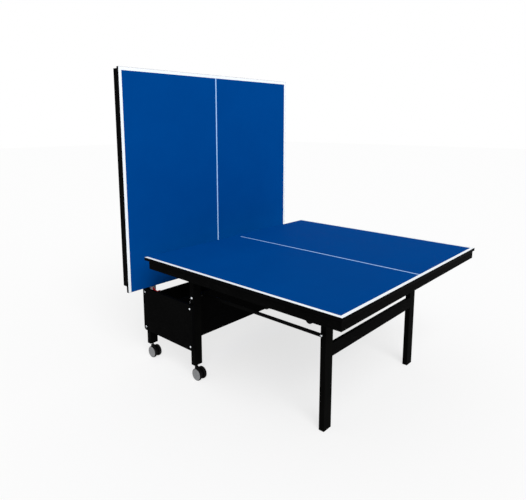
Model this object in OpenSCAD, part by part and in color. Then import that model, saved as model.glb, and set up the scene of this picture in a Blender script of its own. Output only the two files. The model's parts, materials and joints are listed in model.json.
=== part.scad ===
// Folding table-tennis table on a four-castor trolley.
// The right half is flat on its legs and the left half is folded up, for playing alone.
// Millimetres. X runs along the table, Y across it, Z up from the floor.
// The pieces are drawn from the net line, and the whole is then moved to stand about its middle.

/* [Playing surface] */
// Length of the whole table with both halves flat
table_l = 2740; // [2400:10:2800]
// Width across the table
table_w = 1525; // [1300:5:1600]
// Height of the playing surface above the floor
surface_h = 760; // [740:5:790]
// Thickness of each board
board_t = 18; // [12:1:22]
// Half of the gap between the two boards at the net line
net_gap = 2; // [1.5:0.5:4]

/* [Frame under each board] */
// Height of the aprons and rails
apron_h = 47; // [40:1:55]
// Thickness of the aprons
apron_t = 18; // [12:1:24]
// How far the aprons stand back from the edges of the board
apron_inset = 8; // [5:1:25]
// Distance from the net line to the ends of the side aprons
apron_start = 36; // [30:1:60]
// Distance from the net line to the ends of the rails
rail_start = 45; // [40:1:60]
// Thickness of the two inner rails
rail_t = 22; // [18:1:28]
// Length of the large bumpers, which hang under the aprons beyond the legs
bumper_l = 62; // [40:1:80]
// How far the large bumpers hang below the aprons
bumper_h = 10; // [6:1:14]
// Length of the small bumpers, on the net side of the legs
small_bumper_l = 34; // [24:1:50]
// How far the small bumpers hang below the aprons
small_bumper_h = 5; // [4:0.5:8]
// Distance from the leg to the middle of each bumper
bumper_out = 133; // [110:1:180]

/* [Fold linkage] */
// Distance from the net line to the fold pivots and the trolley posts
pivot_x = 225; // [220:1:240]
// Distance from the net line to the leg pivots
leg_x = 1095; // [1000:5:1130]
// Depth of the fold and leg pivots below the underside of the board
pivot_drop = 24; // [22:1:27]
// Height of the flat link bars
link_h = 20; // [18:1:26]
// Thickness of the flat link bars
link_t = 4; // [3:0.5:6]
// Length of the spacer between each link bar and its leg
link_spacer = 12; // [5:0.5:14]
// Diameter of the pivot bolts
bolt_d = 10; // [8:0.5:12]
// Diameter of the bolt heads and nuts
head_d = 17; // [16:0.5:20]
// Height of the bolt heads and nuts
head_h = 4; // [3:0.5:6]

/* [Legs] */
// Thickness of the legs along the table
leg_t = 31; // [22:1:32]
// Width of the legs across the table
leg_w = 63; // [45:1:70]
// Height of the board that joins the two legs
stretcher_h = 70; // [50:5:110]
// Thickness of the board that joins the two legs
stretcher_t = 18; // [12:1:22]

/* [Trolley] */
// Thickness of the posts along the table
post_t = 33; // [28:1:34]
// Width of the posts across the table
post_w = 57; // [48:1:65]
// Distance from the edge of the table to the face of the end panel
panel_inset = 147; // [120:1:180]
// Thickness of the trolley's panels
panel_t = 18; // [15:1:22]
// Height of the trolley's panels
panel_h = 286; // [240:2:300]
// How far the end panels reach past the posts
panel_over = 4; // [2:1:10]
// Radius of the lower corners of the end panels
panel_r = 18; // [8:1:26]
// Distance from the net line to the middle of each cross panel
cross_x = 105; // [90:1:130]
// Side of the square cleats in the corners of the cross panels
cleat = 20; // [14:1:24]
// Diameter of the panel screws' heads
screw_d = 13; // [10:1:15]
// Diameter of the panel screws
screw_shank = 5; // [4:0.5:6]
// How far the panel screws reach into the posts
screw_bite = 26; // [16:1:34]
// Distance from the panels' edges to the screws
screw_edge = 24; // [22:1:34]

/* [Castors] */
// Diameter of the wheels
wheel_d = 75; // [66:1:80]
// Width of each wheel
wheel_w = 18; // [16:0.5:22]
// Width of the fork body between the two wheels
fork_w = 17; // [14:0.5:20]
// Radius of the fork body about the axle
fork_r = 24.5; // [20:0.5:28]
// Height of the bare stem between the wheels' top and the post
castor_neck = 18; // [14:1:24]
// Distance from the swivel axis to the wheels' axle
castor_trail = 22; // [16:1:28]
// Diameter of the stem
stem_d = 11; // [9:0.5:13]
// How far the stem reaches into the post
stem_l = 44; // [30:1:60]
// Diameter of the axle
axle_d = 8; // [6:0.5:9]

/* [Safety latch] */
// Distance from the pin to the middle of the grip
latch_arm = 49; // [42:1:54]
// Diameter of the pin
latch_pin_d = 6; // [5:0.5:7]
// Diameter of the red grip
grip_d = 13; // [10:0.5:14]
// Length of the red grip
grip_l = 30; // [24:1:36]

/* [Clearances] */
// Radial clearance of a bolt, stem or axle in its hole
run_clear = 0.05; // [0.02:0.01:0.1]
// Side clearance between pieces that move past each other
side_clear = 0.3; // [0.3:0.1:0.6]
// Extra radius of the link bar's hole at the leg
link_slop = 0.5; // [0.4:0.1:1]
// Clearance of the panels' top edge below the swinging edge of a board
swing_clear = 12; // [6:1:14]
// Clearance between the rails' swinging ends and the link spacers
link_clear = 10; // [4:1:12]
// Clearance between the legs' top corners and the board
leg_clear = 2.7; // [1.5:0.1:3]
// Clearance between the bolts at the legs and the board that joins the legs
stretcher_clear = 52; // [4:2:120]

/* [Hidden] */

black_wood = [0.03, 0.03, 0.035];
black_steel = [0.06, 0.06, 0.065];
black_plastic = [0.05, 0.05, 0.05];
zinc = [0.85, 0.86, 0.88];

// Heights
board_z = surface_h - board_t;
pivot_z = board_z - pivot_drop;
apron_z = board_z - apron_h;
end_x = table_l / 2;

// Half way between the end of the flat half and the bumpers behind the folded half
middle_x = (end_x - pivot_x - (pivot_z - apron_z) - bumper_h) / 2;

// The net edge of a board, and the net end of a rail, swing on these radii about the fold pivot
edge_swing = norm([pivot_x - net_gap, surface_h - pivot_z]);
rail_swing = norm([pivot_x - rail_start, max(pivot_drop, apron_h - pivot_drop)]);

// Places across the table, each as a depth from the table's edge
post_in = panel_inset + panel_t;
post_out = post_in + post_w;
washer_t = 2;
rail_in = post_out + washer_t;
rail_out = rail_in + rail_t;
head_gap = 1;
link_in = rail_out + head_gap + head_h + side_clear;
link_out = link_in + link_t;
leg_in = link_out + side_clear + link_spacer;
leg_out = leg_in + leg_w;

// The link bars make a parallelogram with the board, so the legs stay upright
spacer_d = bolt_d + 6;
link_drop = rail_swing + spacer_d / 2 + link_clear;
link_z = pivot_z - link_drop;
link_l = leg_x - pivot_x;
stretcher_z = link_z - head_d / 2 - stretcher_clear - stretcher_h;

// Trolley
post_z = wheel_d + castor_neck;
panel_top = pivot_z - edge_swing - swing_clear;
panel_z = panel_top - panel_h;
panel_x = pivot_x + post_t / 2 + panel_over;
screw_pitch = panel_h / 2 - screw_edge;
screw_head_h = 2.6;

// Castors
axle_z = wheel_d / 2;
wheel_gap = 0.8;
wheel_out = fork_w / 2 + wheel_gap;
wheel_face = 4;
stem_flange = 2;
castor_y = table_w / 2 - post_in - post_w / 2;

// Safety latch, on the inner face of a near post and under the swing of the board
latch_drop = 2;
latch_z = panel_top - latch_drop;
latch_hub_d = latch_pin_d + 9;
latch_plate_t = 3;
latch_gap = 2;
latch_x = pivot_x - post_t / 2 - latch_plate_t - latch_gap - latch_hub_d / 2;
latch_in = post_in + 14;
latch_ear_t = 3;
latch_ear_h = latch_hub_d + 6;
latch_hub_t = 9;
latch_arm_h = latch_hub_d - 6;
latch_plate_h = 44;
latch_stop_t = 2.7;
latch_stop_drop = 20;
// Angles of the levers below level: the left one bears up, and the right one hangs on its stop
latch_bear = 18;
latch_hang = 75;

$fn = 48;

// ---- Placing ----

// Moves a piece drawn from the net line to its place about the middle
module placed() {
    translate([-middle_x, 0, 0]) children();
}

// Puts a piece drawn from y = 0 inwards at a depth from the near edge (side -1) or far edge (side 1)
module at_side(side) {
    if (side < 0)
        translate([0, -table_w / 2, 0]) children();
    else
        mirror([0, 1, 0]) translate([0, -table_w / 2, 0]) children();
}

// Folds the left half's board and frame up about its fold pivots
module left_half() {
    translate([-pivot_x, 0, pivot_z]) rotate([0, 90, 0]) translate([pivot_x, 0, -pivot_z])
        mirror([1, 0, 0]) children();
}

// Carries the left legs with the folded half, still upright
module left_legs() {
    translate([link_l, 0, link_l]) mirror([1, 0, 0]) children();
}

// Turns the left link bars up about the posts
module left_links() {
    translate([-pivot_x, 0, link_z]) rotate([0, 90, 0]) translate([pivot_x, 0, -link_z])
        mirror([1, 0, 0]) children();
}

// A cylinder along Y from depth y0 to depth y1
module rod(d, y0, y1, x, z) {
    translate([x, y0, z]) rotate([-90, 0, 0]) cylinder(d = d, h = y1 - y0);
}

// A low domed head along Y, its flat face at depth y0 and its crown towards -Y
module dome(d, h, y0, x, z) {
    crown_r = (d * d / 4 + h * h) / (2 * h);
    translate([x, y0, z]) rotate([90, 0, 0]) rotate_extrude() intersection() {
        translate([0, h - crown_r]) circle(r = crown_r, $fn = 96);
        square([d / 2, h]);
    }
}

// ---- Half of the table, drawn flat and to the right ----

module top_board() {
    color([0, 0.26, 0.55])
        translate([net_gap, -table_w / 2, board_z]) cube([end_x - net_gap, table_w, board_t]);
}

// A side apron, plain at the net end and butted against the end apron
module side_apron(side) {
    color(black_wood) at_side(side)
        translate([apron_start, apron_inset, apron_z])
            cube([end_x - apron_inset - apron_t - apron_start, apron_t, apron_h]);
}

module end_apron() {
    color(black_wood)
        translate([end_x - apron_inset - apron_t, apron_inset - table_w / 2, apron_z])
            cube([apron_t, table_w - 2 * apron_inset, apron_h]);
}

// An inner rail, bored for the fold pivot and the leg pivot
module inner_rail(side) {
    color(black_wood) at_side(side) difference() {
        translate([rail_start, rail_in, apron_z])
            cube([end_x - apron_inset - apron_t - rail_start, rail_t, apron_h]);
        for (x = [pivot_x, leg_x])
            rod(bolt_d + 2 * run_clear, rail_in - 1, rail_out + 1, x, pivot_z);
    }
}

// The cross rail at the net end stops short of the link bars, which fold past it
module net_rail() {
    rail_end = leg_in + 4;
    color(black_wood)
        translate([rail_start, rail_end - table_w / 2, apron_z])
            cube([apron_t, table_w - 2 * rail_end, apron_h]);
}

// Rubber bumpers under the side aprons, with round ends
module bumpers() {
    color(black_plastic) for (side = [-1, 1]) at_side(side) {
        bumper(leg_x + bumper_out, bumper_l, bumper_h);
        bumper(leg_x - bumper_out, small_bumper_l, small_bumper_h);
    }
}

module bumper(x, length, drop) {
    round_r = (length * length / 4 + drop * drop) / (2 * drop);
    translate([x, apron_inset, apron_z]) rotate([-90, 0, 0]) linear_extrude(apron_t) intersection() {
        translate([0, drop - round_r]) circle(r = round_r, $fn = 96);
        translate([-length / 2, 0]) square([length, drop]);
    }
}

// The bolts that the half folds on and the bolts that its legs hang on, with their spacers
module pivot_bolts() {
    color(zinc) for (side = [-1, 1]) at_side(side) {
        fold_bolt();
        leg_bolt();
    }
}

module fold_bolt() {
    union() {
        dome(head_d, head_h, post_in - side_clear, pivot_x, pivot_z);
        rod(bolt_d, post_in - side_clear, rail_out, pivot_x, pivot_z);
    }
    difference() {
        rod(head_d, post_out + side_clear, rail_in, pivot_x, pivot_z);
        rod(bolt_d + 2 * run_clear, post_out, rail_in + 1, pivot_x, pivot_z);
    }
}

module leg_bolt() {
    union() {
        dome(head_d, head_h, rail_in, leg_x, pivot_z);
        rod(bolt_d, rail_in, leg_out + side_clear + head_h, leg_x, pivot_z);
    }
    difference() {
        rod(spacer_d, rail_out, leg_in - side_clear, leg_x, pivot_z);
        rod(bolt_d + 2 * run_clear, rail_out - 1, leg_in, leg_x, pivot_z);
    }
    nut(leg_out + side_clear, leg_x, pivot_z);
}

// A round cap nut's collar, bored for its bolt
module nut(y0, x, z) {
    difference() {
        rod(head_d, y0, y0 + head_h, x, z);
        rod(bolt_d + 2 * run_clear, y0 - 1, y0 + head_h + 1, x, z);
    }
}

// A leg, square at the foot and bored for its pivot and its link bar
module leg(side) {
    leg_head = sqrt(pow(pivot_drop - leg_clear, 2) - pow(leg_t / 2, 2));
    color(black_wood) at_side(side) difference() {
        translate([leg_x - leg_t / 2, leg_in, 0]) cube([leg_t, leg_w, pivot_z + leg_head]);
        for (z = [link_z, pivot_z])
            rod(bolt_d + 2 * run_clear, leg_in - 1, leg_out + 1, leg_x, z);
    }
}

module leg_stretcher() {
    color(black_wood)
        translate([leg_x + leg_t / 2 - stretcher_t, leg_out - table_w / 2, stretcher_z])
            cube([stretcher_t, table_w - 2 * leg_out, stretcher_h]);
}

// The bolts that pin the link bars to the legs
module leg_bolts() {
    color(zinc) for (side = [-1, 1]) at_side(side) {
        union() {
            dome(head_d, head_h, link_in - side_clear, leg_x, link_z);
            rod(bolt_d, link_in - side_clear, leg_out + head_h, leg_x, link_z);
        }
        difference() {
            rod(spacer_d, link_out + side_clear, leg_in, leg_x, link_z);
            rod(bolt_d + 2 * run_clear, link_out, leg_in + 1, leg_x, link_z);
        }
        nut(leg_out, leg_x, link_z);
    }
}

// A flat link bar with round ends, free on its bolt at the leg
module link_bar(side) {
    color(black_steel) at_side(side) difference() {
        union() {
            translate([pivot_x, link_in, link_z - link_h / 2]) cube([link_l, link_t, link_h]);
            for (x = [pivot_x, leg_x]) rod(link_h, link_in, link_out, x, link_z);
        }
        rod(bolt_d + 2 * run_clear, link_in - 1, link_out + 1, pivot_x, link_z);
        rod(bolt_d + 2 * link_slop, link_in - 1, link_out + 1, leg_x, link_z);
    }
}

// ---- Trolley ----

// A post with a round top about the fold pivot, and a socket for the castor stem
module post(side, way) {
    color(black_wood) at_side(side) difference() {
        union() {
            translate([way * pivot_x - post_t / 2, post_in, post_z])
                cube([post_t, post_w, pivot_z - post_z]);
            rod(post_t, post_in, post_out, way * pivot_x, pivot_z);
        }
        for (z = [link_z, pivot_z])
            rod(bolt_d + 2 * run_clear, post_in - 1, post_out + 1, way * pivot_x, z);
        for (z = [-1, 1])
            rod(screw_shank + 2 * run_clear, post_in - 1, post_in + screw_bite,
                way * pivot_x, panel_z + panel_h / 2 + z * screw_pitch);
        translate([way * pivot_x, post_in + post_w / 2, post_z - 1])
            cylinder(d = stem_d + 2 * run_clear, h = stem_l + 1 + side_clear);
    }
}

// An end panel with round lower corners
module end_panel(side) {
    color(black_wood) at_side(side) difference() {
        translate([0, panel_inset + panel_t, 0]) rotate([90, 0, 0]) linear_extrude(panel_t) union() {
            translate([-panel_x, panel_z + panel_r]) square([2 * panel_x, panel_h - panel_r]);
            translate([panel_r - panel_x, panel_z]) square([2 * (panel_x - panel_r), panel_r + 1]);
            for (x = [-1, 1])
                translate([x * (panel_x - panel_r), panel_z + panel_r]) circle(r = panel_r);
        }
        for (x = [-1, 1], z = [-1, 1])
            rod(screw_shank + 2 * run_clear, panel_inset - 1, post_in + 1,
                x * pivot_x, panel_z + panel_h / 2 + z * screw_pitch);
    }
}

module cross_panel(way) {
    color(black_wood)
        translate([way * cross_x - panel_t / 2, post_in - table_w / 2, panel_z])
            cube([panel_t, table_w - 2 * post_in, panel_h]);
}

// Cleats that hold the cross panels to the end panels
module corner_cleats() {
    cleat_margin = 20;
    color(black_wood) for (side = [-1, 1], way = [-1, 1]) at_side(side)
        translate([way * (cross_x - panel_t / 2 - cleat / 2) - cleat / 2, post_in,
                   panel_z + cleat_margin])
            cube([cleat, cleat, panel_h - 2 * cleat_margin]);
}

module panel_screws() {
    color(zinc) for (side = [-1, 1], x = [-1, 1], z = [-1, 1]) at_side(side) {
        screw_z = panel_z + panel_h / 2 + z * screw_pitch;
        union() {
            dome(screw_d, screw_head_h, panel_inset, x * pivot_x, screw_z);
            rod(screw_shank, panel_inset, post_in + screw_bite, x * pivot_x, screw_z);
        }
    }
}

// The bolts that the link bars turn on, with their spacers and nuts
module link_bolts() {
    color(zinc) for (side = [-1, 1], way = [-1, 1]) at_side(side) {
        union() {
            dome(head_d, head_h, post_in, way * pivot_x, link_z);
            rod(bolt_d, post_in, link_out + side_clear + head_h, way * pivot_x, link_z);
        }
        difference() {
            rod(spacer_d, post_out, link_in - side_clear, way * pivot_x, link_z);
            rod(bolt_d + 2 * run_clear, post_out - 1, link_in, way * pivot_x, link_z);
        }
        nut(link_out + side_clear, way * pivot_x, link_z);
    }
}

// ---- Safety latch ----

// A steel angle on the post, with the lever's pin and a tab that the hanging lever rests on
module latch_bracket() {
    base_x = pivot_x - post_t / 2 - latch_plate_t;
    ear_x = latch_x - latch_hub_d / 2;
    stop_x = latch_x + (latch_arm_h / 2 + side_clear) / sin(latch_hang)
        - latch_stop_drop / tan(latch_hang);
    hub_in = latch_in + latch_ear_t + side_clear;
    hub_end = hub_in + latch_hub_t + side_clear;
    union() {
        translate([base_x, latch_in - 4, latch_z + latch_ear_h / 2 - latch_plate_h])
            cube([latch_plate_t, post_w - 20, latch_plate_h]);
        translate([ear_x, latch_in, latch_z - latch_ear_h / 2])
            cube([base_x + 1 - ear_x, latch_ear_t, latch_ear_h]);
        translate([stop_x, latch_in, latch_z - latch_stop_drop - latch_stop_t])
            cube([base_x + 1 - stop_x, latch_ear_t + latch_hub_t, latch_stop_t]);
        rod(latch_pin_d, latch_in, hub_end + 1, latch_x, latch_z);
        rod(latch_pin_d + 3, hub_end, hub_end + 2, latch_x, latch_z);
    }
}

module latch_brackets() {
    color([0.62, 0.62, 0.64]) at_side(-1) {
        latch_bracket();
        mirror([1, 0, 0]) latch_bracket();
    }
}

// A lever on the bracket's pin, at an angle below level, with a round grip at its end
module latch_lever(fall) {
    hub_in = latch_in + latch_ear_t + side_clear;
    color([0.75, 0.05, 0.08]) at_side(-1) translate([latch_x, 0, latch_z]) rotate([0, -fall, 0])
        difference() {
            union() {
                rod(latch_hub_d, hub_in, hub_in + latch_hub_t, 0, 0);
                translate([-latch_arm, hub_in, -latch_arm_h / 2])
                    cube([latch_arm, latch_hub_t, latch_arm_h]);
                rod(grip_d, hub_in, hub_in + grip_l, -latch_arm, 0);
            }
            rod(latch_pin_d + 2 * run_clear, hub_in - 1, hub_in + latch_hub_t + 1, 0, 0);
        }
}

// ---- Castors ----

// Places a castor drawn about its swivel axis under one post
module under_post(side, way) {
    translate([way * pivot_x, side * castor_y, 0]) children();
}

// The fork body between the wheels, with its swivel stem
module fork(side, way) {
    color(black_plastic) under_post(side, way) difference() {
        union() {
            translate([0, fork_w / 2, 0]) rotate([90, 0, 0]) linear_extrude(fork_w) union() {
                translate([castor_trail, axle_z]) circle(r = fork_r);
                polygon([[-stem_d, axle_z + 8], [castor_trail, axle_z - 8],
                         [castor_trail, axle_z + fork_r], [stem_d, wheel_d], [-stem_d, wheel_d]]);
            }
            translate([0, 0, wheel_d - 1]) cylinder(d = stem_d, h = castor_neck + 1 + stem_l);
            translate([0, 0, post_z - stem_flange - side_clear])
                cylinder(d = stem_d + 9, h = stem_flange);
        }
        translate([castor_trail, fork_w / 2 + 1, axle_z]) rotate([90, 0, 0])
            cylinder(d = axle_d + 2 * run_clear, h = fork_w + 2);
    }
}

module axle(side, way) {
    reach = wheel_out + wheel_w - wheel_face;
    color(zinc) under_post(side, way)
        translate([castor_trail, reach, axle_z]) rotate([90, 0, 0])
            cylinder(d = axle_d, h = 2 * reach);
}

// A wheel with a round tread, a plain disc on its outer face and ribs behind it.
// face is -1 when its disc looks towards -Y and 1 when it looks towards +Y.
module wheel(side, way, face) {
    r = wheel_d / 2;
    edge = 3;
    rim_t = 6;
    hub_r = axle_d / 2 + 5;
    rib_t = 2;
    disc_r = r - rim_t + 1;
    color(black_plastic) under_post(side, way)
        translate([castor_trail, face * wheel_out, axle_z]) rotate([-90 * face, 0, 0]) {
            rotate_extrude($fn = 96) difference() {
                union() {
                    square([r - edge, wheel_w]);
                    translate([0, edge]) square([r, wheel_w - 2 * edge]);
                    for (z = [edge, wheel_w - edge]) translate([r - edge, z]) circle(r = edge);
                }
                translate([hub_r, -1]) square([r - rim_t - hub_r, wheel_w - wheel_face + 1]);
                translate([disc_r, wheel_w - 1]) square([1.2, 2]);
                translate([0, -1])
                    square([axle_d / 2 + run_clear, wheel_w - wheel_face + 1 + run_clear]);
            }
            for (a = [0:60:300]) rotate([0, 0, a]) translate([hub_r - 0.5, -rib_t / 2, 1])
                cube([r - rim_t - hub_r + 1, rib_t, wheel_w - wheel_face - 0.5]);
        }
}

// ---- Nodes ----

placed() top_board();  // right_top_board
placed() side_apron(-1);  // right_near_apron
placed() side_apron(1);  // right_far_apron
placed() end_apron();  // right_end_apron
placed() inner_rail(-1);  // right_near_rail
placed() inner_rail(1);  // right_far_rail
placed() net_rail();  // right_net_rail
placed() bumpers();  // right_bumpers
placed() pivot_bolts();  // right_pivot_bolts
placed() leg(-1);  // right_near_leg
placed() leg(1);  // right_far_leg
placed() leg_stretcher();  // right_leg_stretcher
placed() leg_bolts();  // right_leg_bolts
placed() link_bar(-1);  // right_near_link
placed() link_bar(1);  // right_far_link
placed() left_half() top_board();  // left_top_board
placed() left_half() side_apron(-1);  // left_near_apron
placed() left_half() side_apron(1);  // left_far_apron
placed() left_half() end_apron();  // left_end_apron
placed() left_half() inner_rail(-1);  // left_near_rail
placed() left_half() inner_rail(1);  // left_far_rail
placed() left_half() net_rail();  // left_net_rail
placed() left_half() bumpers();  // left_bumpers
placed() left_half() pivot_bolts();  // left_pivot_bolts
placed() left_legs() leg(-1);  // left_near_leg
placed() left_legs() leg(1);  // left_far_leg
placed() left_legs() leg_stretcher();  // left_leg_stretcher
placed() left_legs() leg_bolts();  // left_leg_bolts
placed() left_links() link_bar(-1);  // left_near_link
placed() left_links() link_bar(1);  // left_far_link
placed() post(-1, 1);  // right_near_post
placed() post(1, 1);  // right_far_post
placed() post(-1, -1);  // left_near_post
placed() post(1, -1);  // left_far_post
placed() end_panel(-1);  // near_end_panel
placed() end_panel(1);  // far_end_panel
placed() cross_panel(1);  // right_cross_panel
placed() cross_panel(-1);  // left_cross_panel
placed() corner_cleats();
placed() panel_screws();
placed() link_bolts();
placed() latch_brackets();
placed() latch_lever(latch_hang);  // right_latch_lever
placed() mirror([1, 0, 0]) latch_lever(latch_bear);  // left_latch_lever
placed() fork(-1, 1);  // right_near_fork
placed() axle(-1, 1);  // right_near_axle
placed() wheel(-1, 1, -1);  // right_near_outer_wheel
placed() wheel(-1, 1, 1);  // right_near_inner_wheel
placed() fork(1, 1);  // right_far_fork
placed() axle(1, 1);  // right_far_axle
placed() wheel(1, 1, 1);  // right_far_outer_wheel
placed() wheel(1, 1, -1);  // right_far_inner_wheel
placed() fork(-1, -1);  // left_near_fork
placed() axle(-1, -1);  // left_near_axle
placed() wheel(-1, -1, -1);  // left_near_outer_wheel
placed() wheel(-1, -1, 1);  // left_near_inner_wheel
placed() fork(1, -1);  // left_far_fork
placed() axle(1, -1);  // left_far_axle
placed() wheel(1, -1, 1);  // left_far_outer_wheel
placed() wheel(1, -1, -1);  // left_far_inner_wheel
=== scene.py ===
"""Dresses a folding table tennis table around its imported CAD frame.

The right half stands level on its legs, and the left half is folded up over a castor trolley.
Lengths are metres and the frame is the CAD model's own: x along the table, y across it, z up.
A piece of the left half is the same piece of the right half, carried to its place by a matrix.
"""

import json
import logging
import math
from collections.abc import Callable, Sequence
from dataclasses import dataclass, field, replace
from enum import Enum, IntEnum
from functools import cache

import bmesh
import bpy
from bmesh.types import BMesh, BMVert
from bpy.types import ID, Material, Mesh, Node, NodeSocket, NodeTree, Object
from mathutils import Matrix, Vector


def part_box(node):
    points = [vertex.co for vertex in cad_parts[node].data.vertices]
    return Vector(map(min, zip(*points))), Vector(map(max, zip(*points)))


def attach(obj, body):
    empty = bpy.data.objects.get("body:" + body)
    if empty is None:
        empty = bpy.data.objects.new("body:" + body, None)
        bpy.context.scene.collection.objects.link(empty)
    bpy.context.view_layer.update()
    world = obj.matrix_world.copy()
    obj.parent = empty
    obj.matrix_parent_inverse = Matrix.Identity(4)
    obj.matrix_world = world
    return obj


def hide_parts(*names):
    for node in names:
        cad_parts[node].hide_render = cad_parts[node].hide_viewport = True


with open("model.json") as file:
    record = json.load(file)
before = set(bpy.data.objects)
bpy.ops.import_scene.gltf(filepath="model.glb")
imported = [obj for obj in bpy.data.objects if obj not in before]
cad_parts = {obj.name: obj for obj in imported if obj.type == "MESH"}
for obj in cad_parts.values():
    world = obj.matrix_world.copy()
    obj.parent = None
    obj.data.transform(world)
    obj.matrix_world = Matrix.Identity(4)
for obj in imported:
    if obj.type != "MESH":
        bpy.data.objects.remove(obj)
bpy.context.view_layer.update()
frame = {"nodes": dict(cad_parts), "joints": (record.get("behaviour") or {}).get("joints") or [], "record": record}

log = logging.getLogger("table")

JOINTS = {joint["name"]: joint for joint in frame["joints"]}
BODY_OF = {
    node: body
    for body, nodes in frame["record"]["behaviour"]["bodies"].items()
    for node in nodes
}

MM = 0.001
GRAIN = "grain"  # the attribute that holds a piece's own coordinates, x along its grain
VECTOR = "FLOAT_VECTOR"  # the type of an attribute with three parts
MERGE = 0.002 * MM  # points closer than this are one point
PLAY = 0.3 * MM  # side clearance between pieces that turn against each other
SHARP = math.radians(35)  # edges sharper than this stay sharp in the shading
BEND = math.radians(40)  # edges sharper than this get their rounding
HERE = Matrix.Identity(4)  # the place of a piece that is built where it stands


# ---- Placing ----


class Side(Enum):
    """The two halves of the table."""

    RIGHT = "right"
    LEFT = "left"


class Edge(Enum):
    """The two long edges of the table."""

    NEAR = "near"
    FAR = "far"

    @property
    def inwards(self) -> int:
        """The direction from this edge to the middle of the table, along y."""
        return 1 if self is Edge.NEAR else -1


def pivot(name: str) -> Vector:
    """The place of a joint of the CAD model."""
    return Vector(JOINTS[name]["pos_m"])


def span(edge: Edge, name: str) -> tuple[float, float]:
    """The outer and inner face of a piece of the right half, along y."""
    low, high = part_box(f"right_{edge.value}_{name}")
    return (low.y, high.y) if edge is Edge.NEAR else (high.y, low.y)


NET_X = (pivot("right_fold").x + pivot("left_fold").x) / 2


def across_net() -> Matrix:
    """Mirrors a piece of the right half to the left of the net line."""
    shift = Matrix.Translation((NET_X, 0, 0))
    return shift @ Matrix.Diagonal((-1, 1, 1, 1)) @ shift.inverted()


def turned_up(joint: str) -> Matrix:
    """Carries a piece of the right half over to the left and folds it up about a left joint."""
    at = Matrix.Translation(pivot(joint))
    return at @ Matrix.Rotation(math.pi / 2, 4, "Y") @ at.inverted() @ across_net()


def legs_up() -> Matrix:
    """Carries the legs of the right half, still upright, to their place on the folded half.

    Returns:
        The matrix that places the legs.
    """
    over = across_net()
    lift = pivot("left_leg_hinge") - over @ pivot("right_leg_hinge")
    return Matrix.Translation(lift) @ over


# ---- Finishes ----


def linear(colour: str) -> tuple[float, float, float, float]:
    """Turns an sRGB hex value into linear light.

    Args:
        colour: Six hex digits, red first.

    Returns:
        Red, green, blue and an alpha of one.
    """
    parts = [int(colour[i : i + 2], 16) / 255 for i in (0, 2, 4)]
    red, green, blue = (
        p / 12.92 if p <= 0.04045 else ((p + 0.055) / 1.055) ** 2.4 for p in parts
    )
    return red, green, blue, 1.0


def feed(tree: NodeTree, node: Node, inputs: dict[str | int, object]) -> None:
    """Sets or links a node's inputs.

    Args:
        tree: The tree that the node is in.
        node: The node.
        inputs: Values, output sockets, or nodes whose first output is meant, by the input's
            name or number.
    """
    for name, value in inputs.items():
        if isinstance(value, Node):
            value = value.outputs[0]
        if isinstance(value, NodeSocket):
            tree.links.new(value, node.inputs[name])
        else:
            node.inputs[name].default_value = value


def add(tree: NodeTree, kind: str, inputs: dict | None = None, **settings: object) -> Node:
    """Adds a node with its settings, and sets or links its inputs.

    Args:
        tree: The tree that gets the node.
        kind: The node's type name.
        inputs: What its inputs are fed with.
        **settings: The node's own properties.

    Returns:
        The new node.
    """
    made = tree.nodes.new(kind)
    for name, value in settings.items():
        setattr(made, name, value)
    feed(tree, made, inputs or {})
    return made


class Relief(Enum):
    """How a surface was made, which gives its small relief."""

    ROLLED = "rolled"  # paint laid with a roller or a gun: soft, round orange peel
    PORES = "pores"  # a pressed sheet with shallow wood pores along the grain
    DRAWN = "drawn"  # drawn or ground metal: fine lines along the piece
    SPARKED = "sparked"  # moulded in a spark-eroded mould: a tight, even matt
    CRYSTAL = "crystal"  # plated metal: faint cloudy crystals


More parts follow.
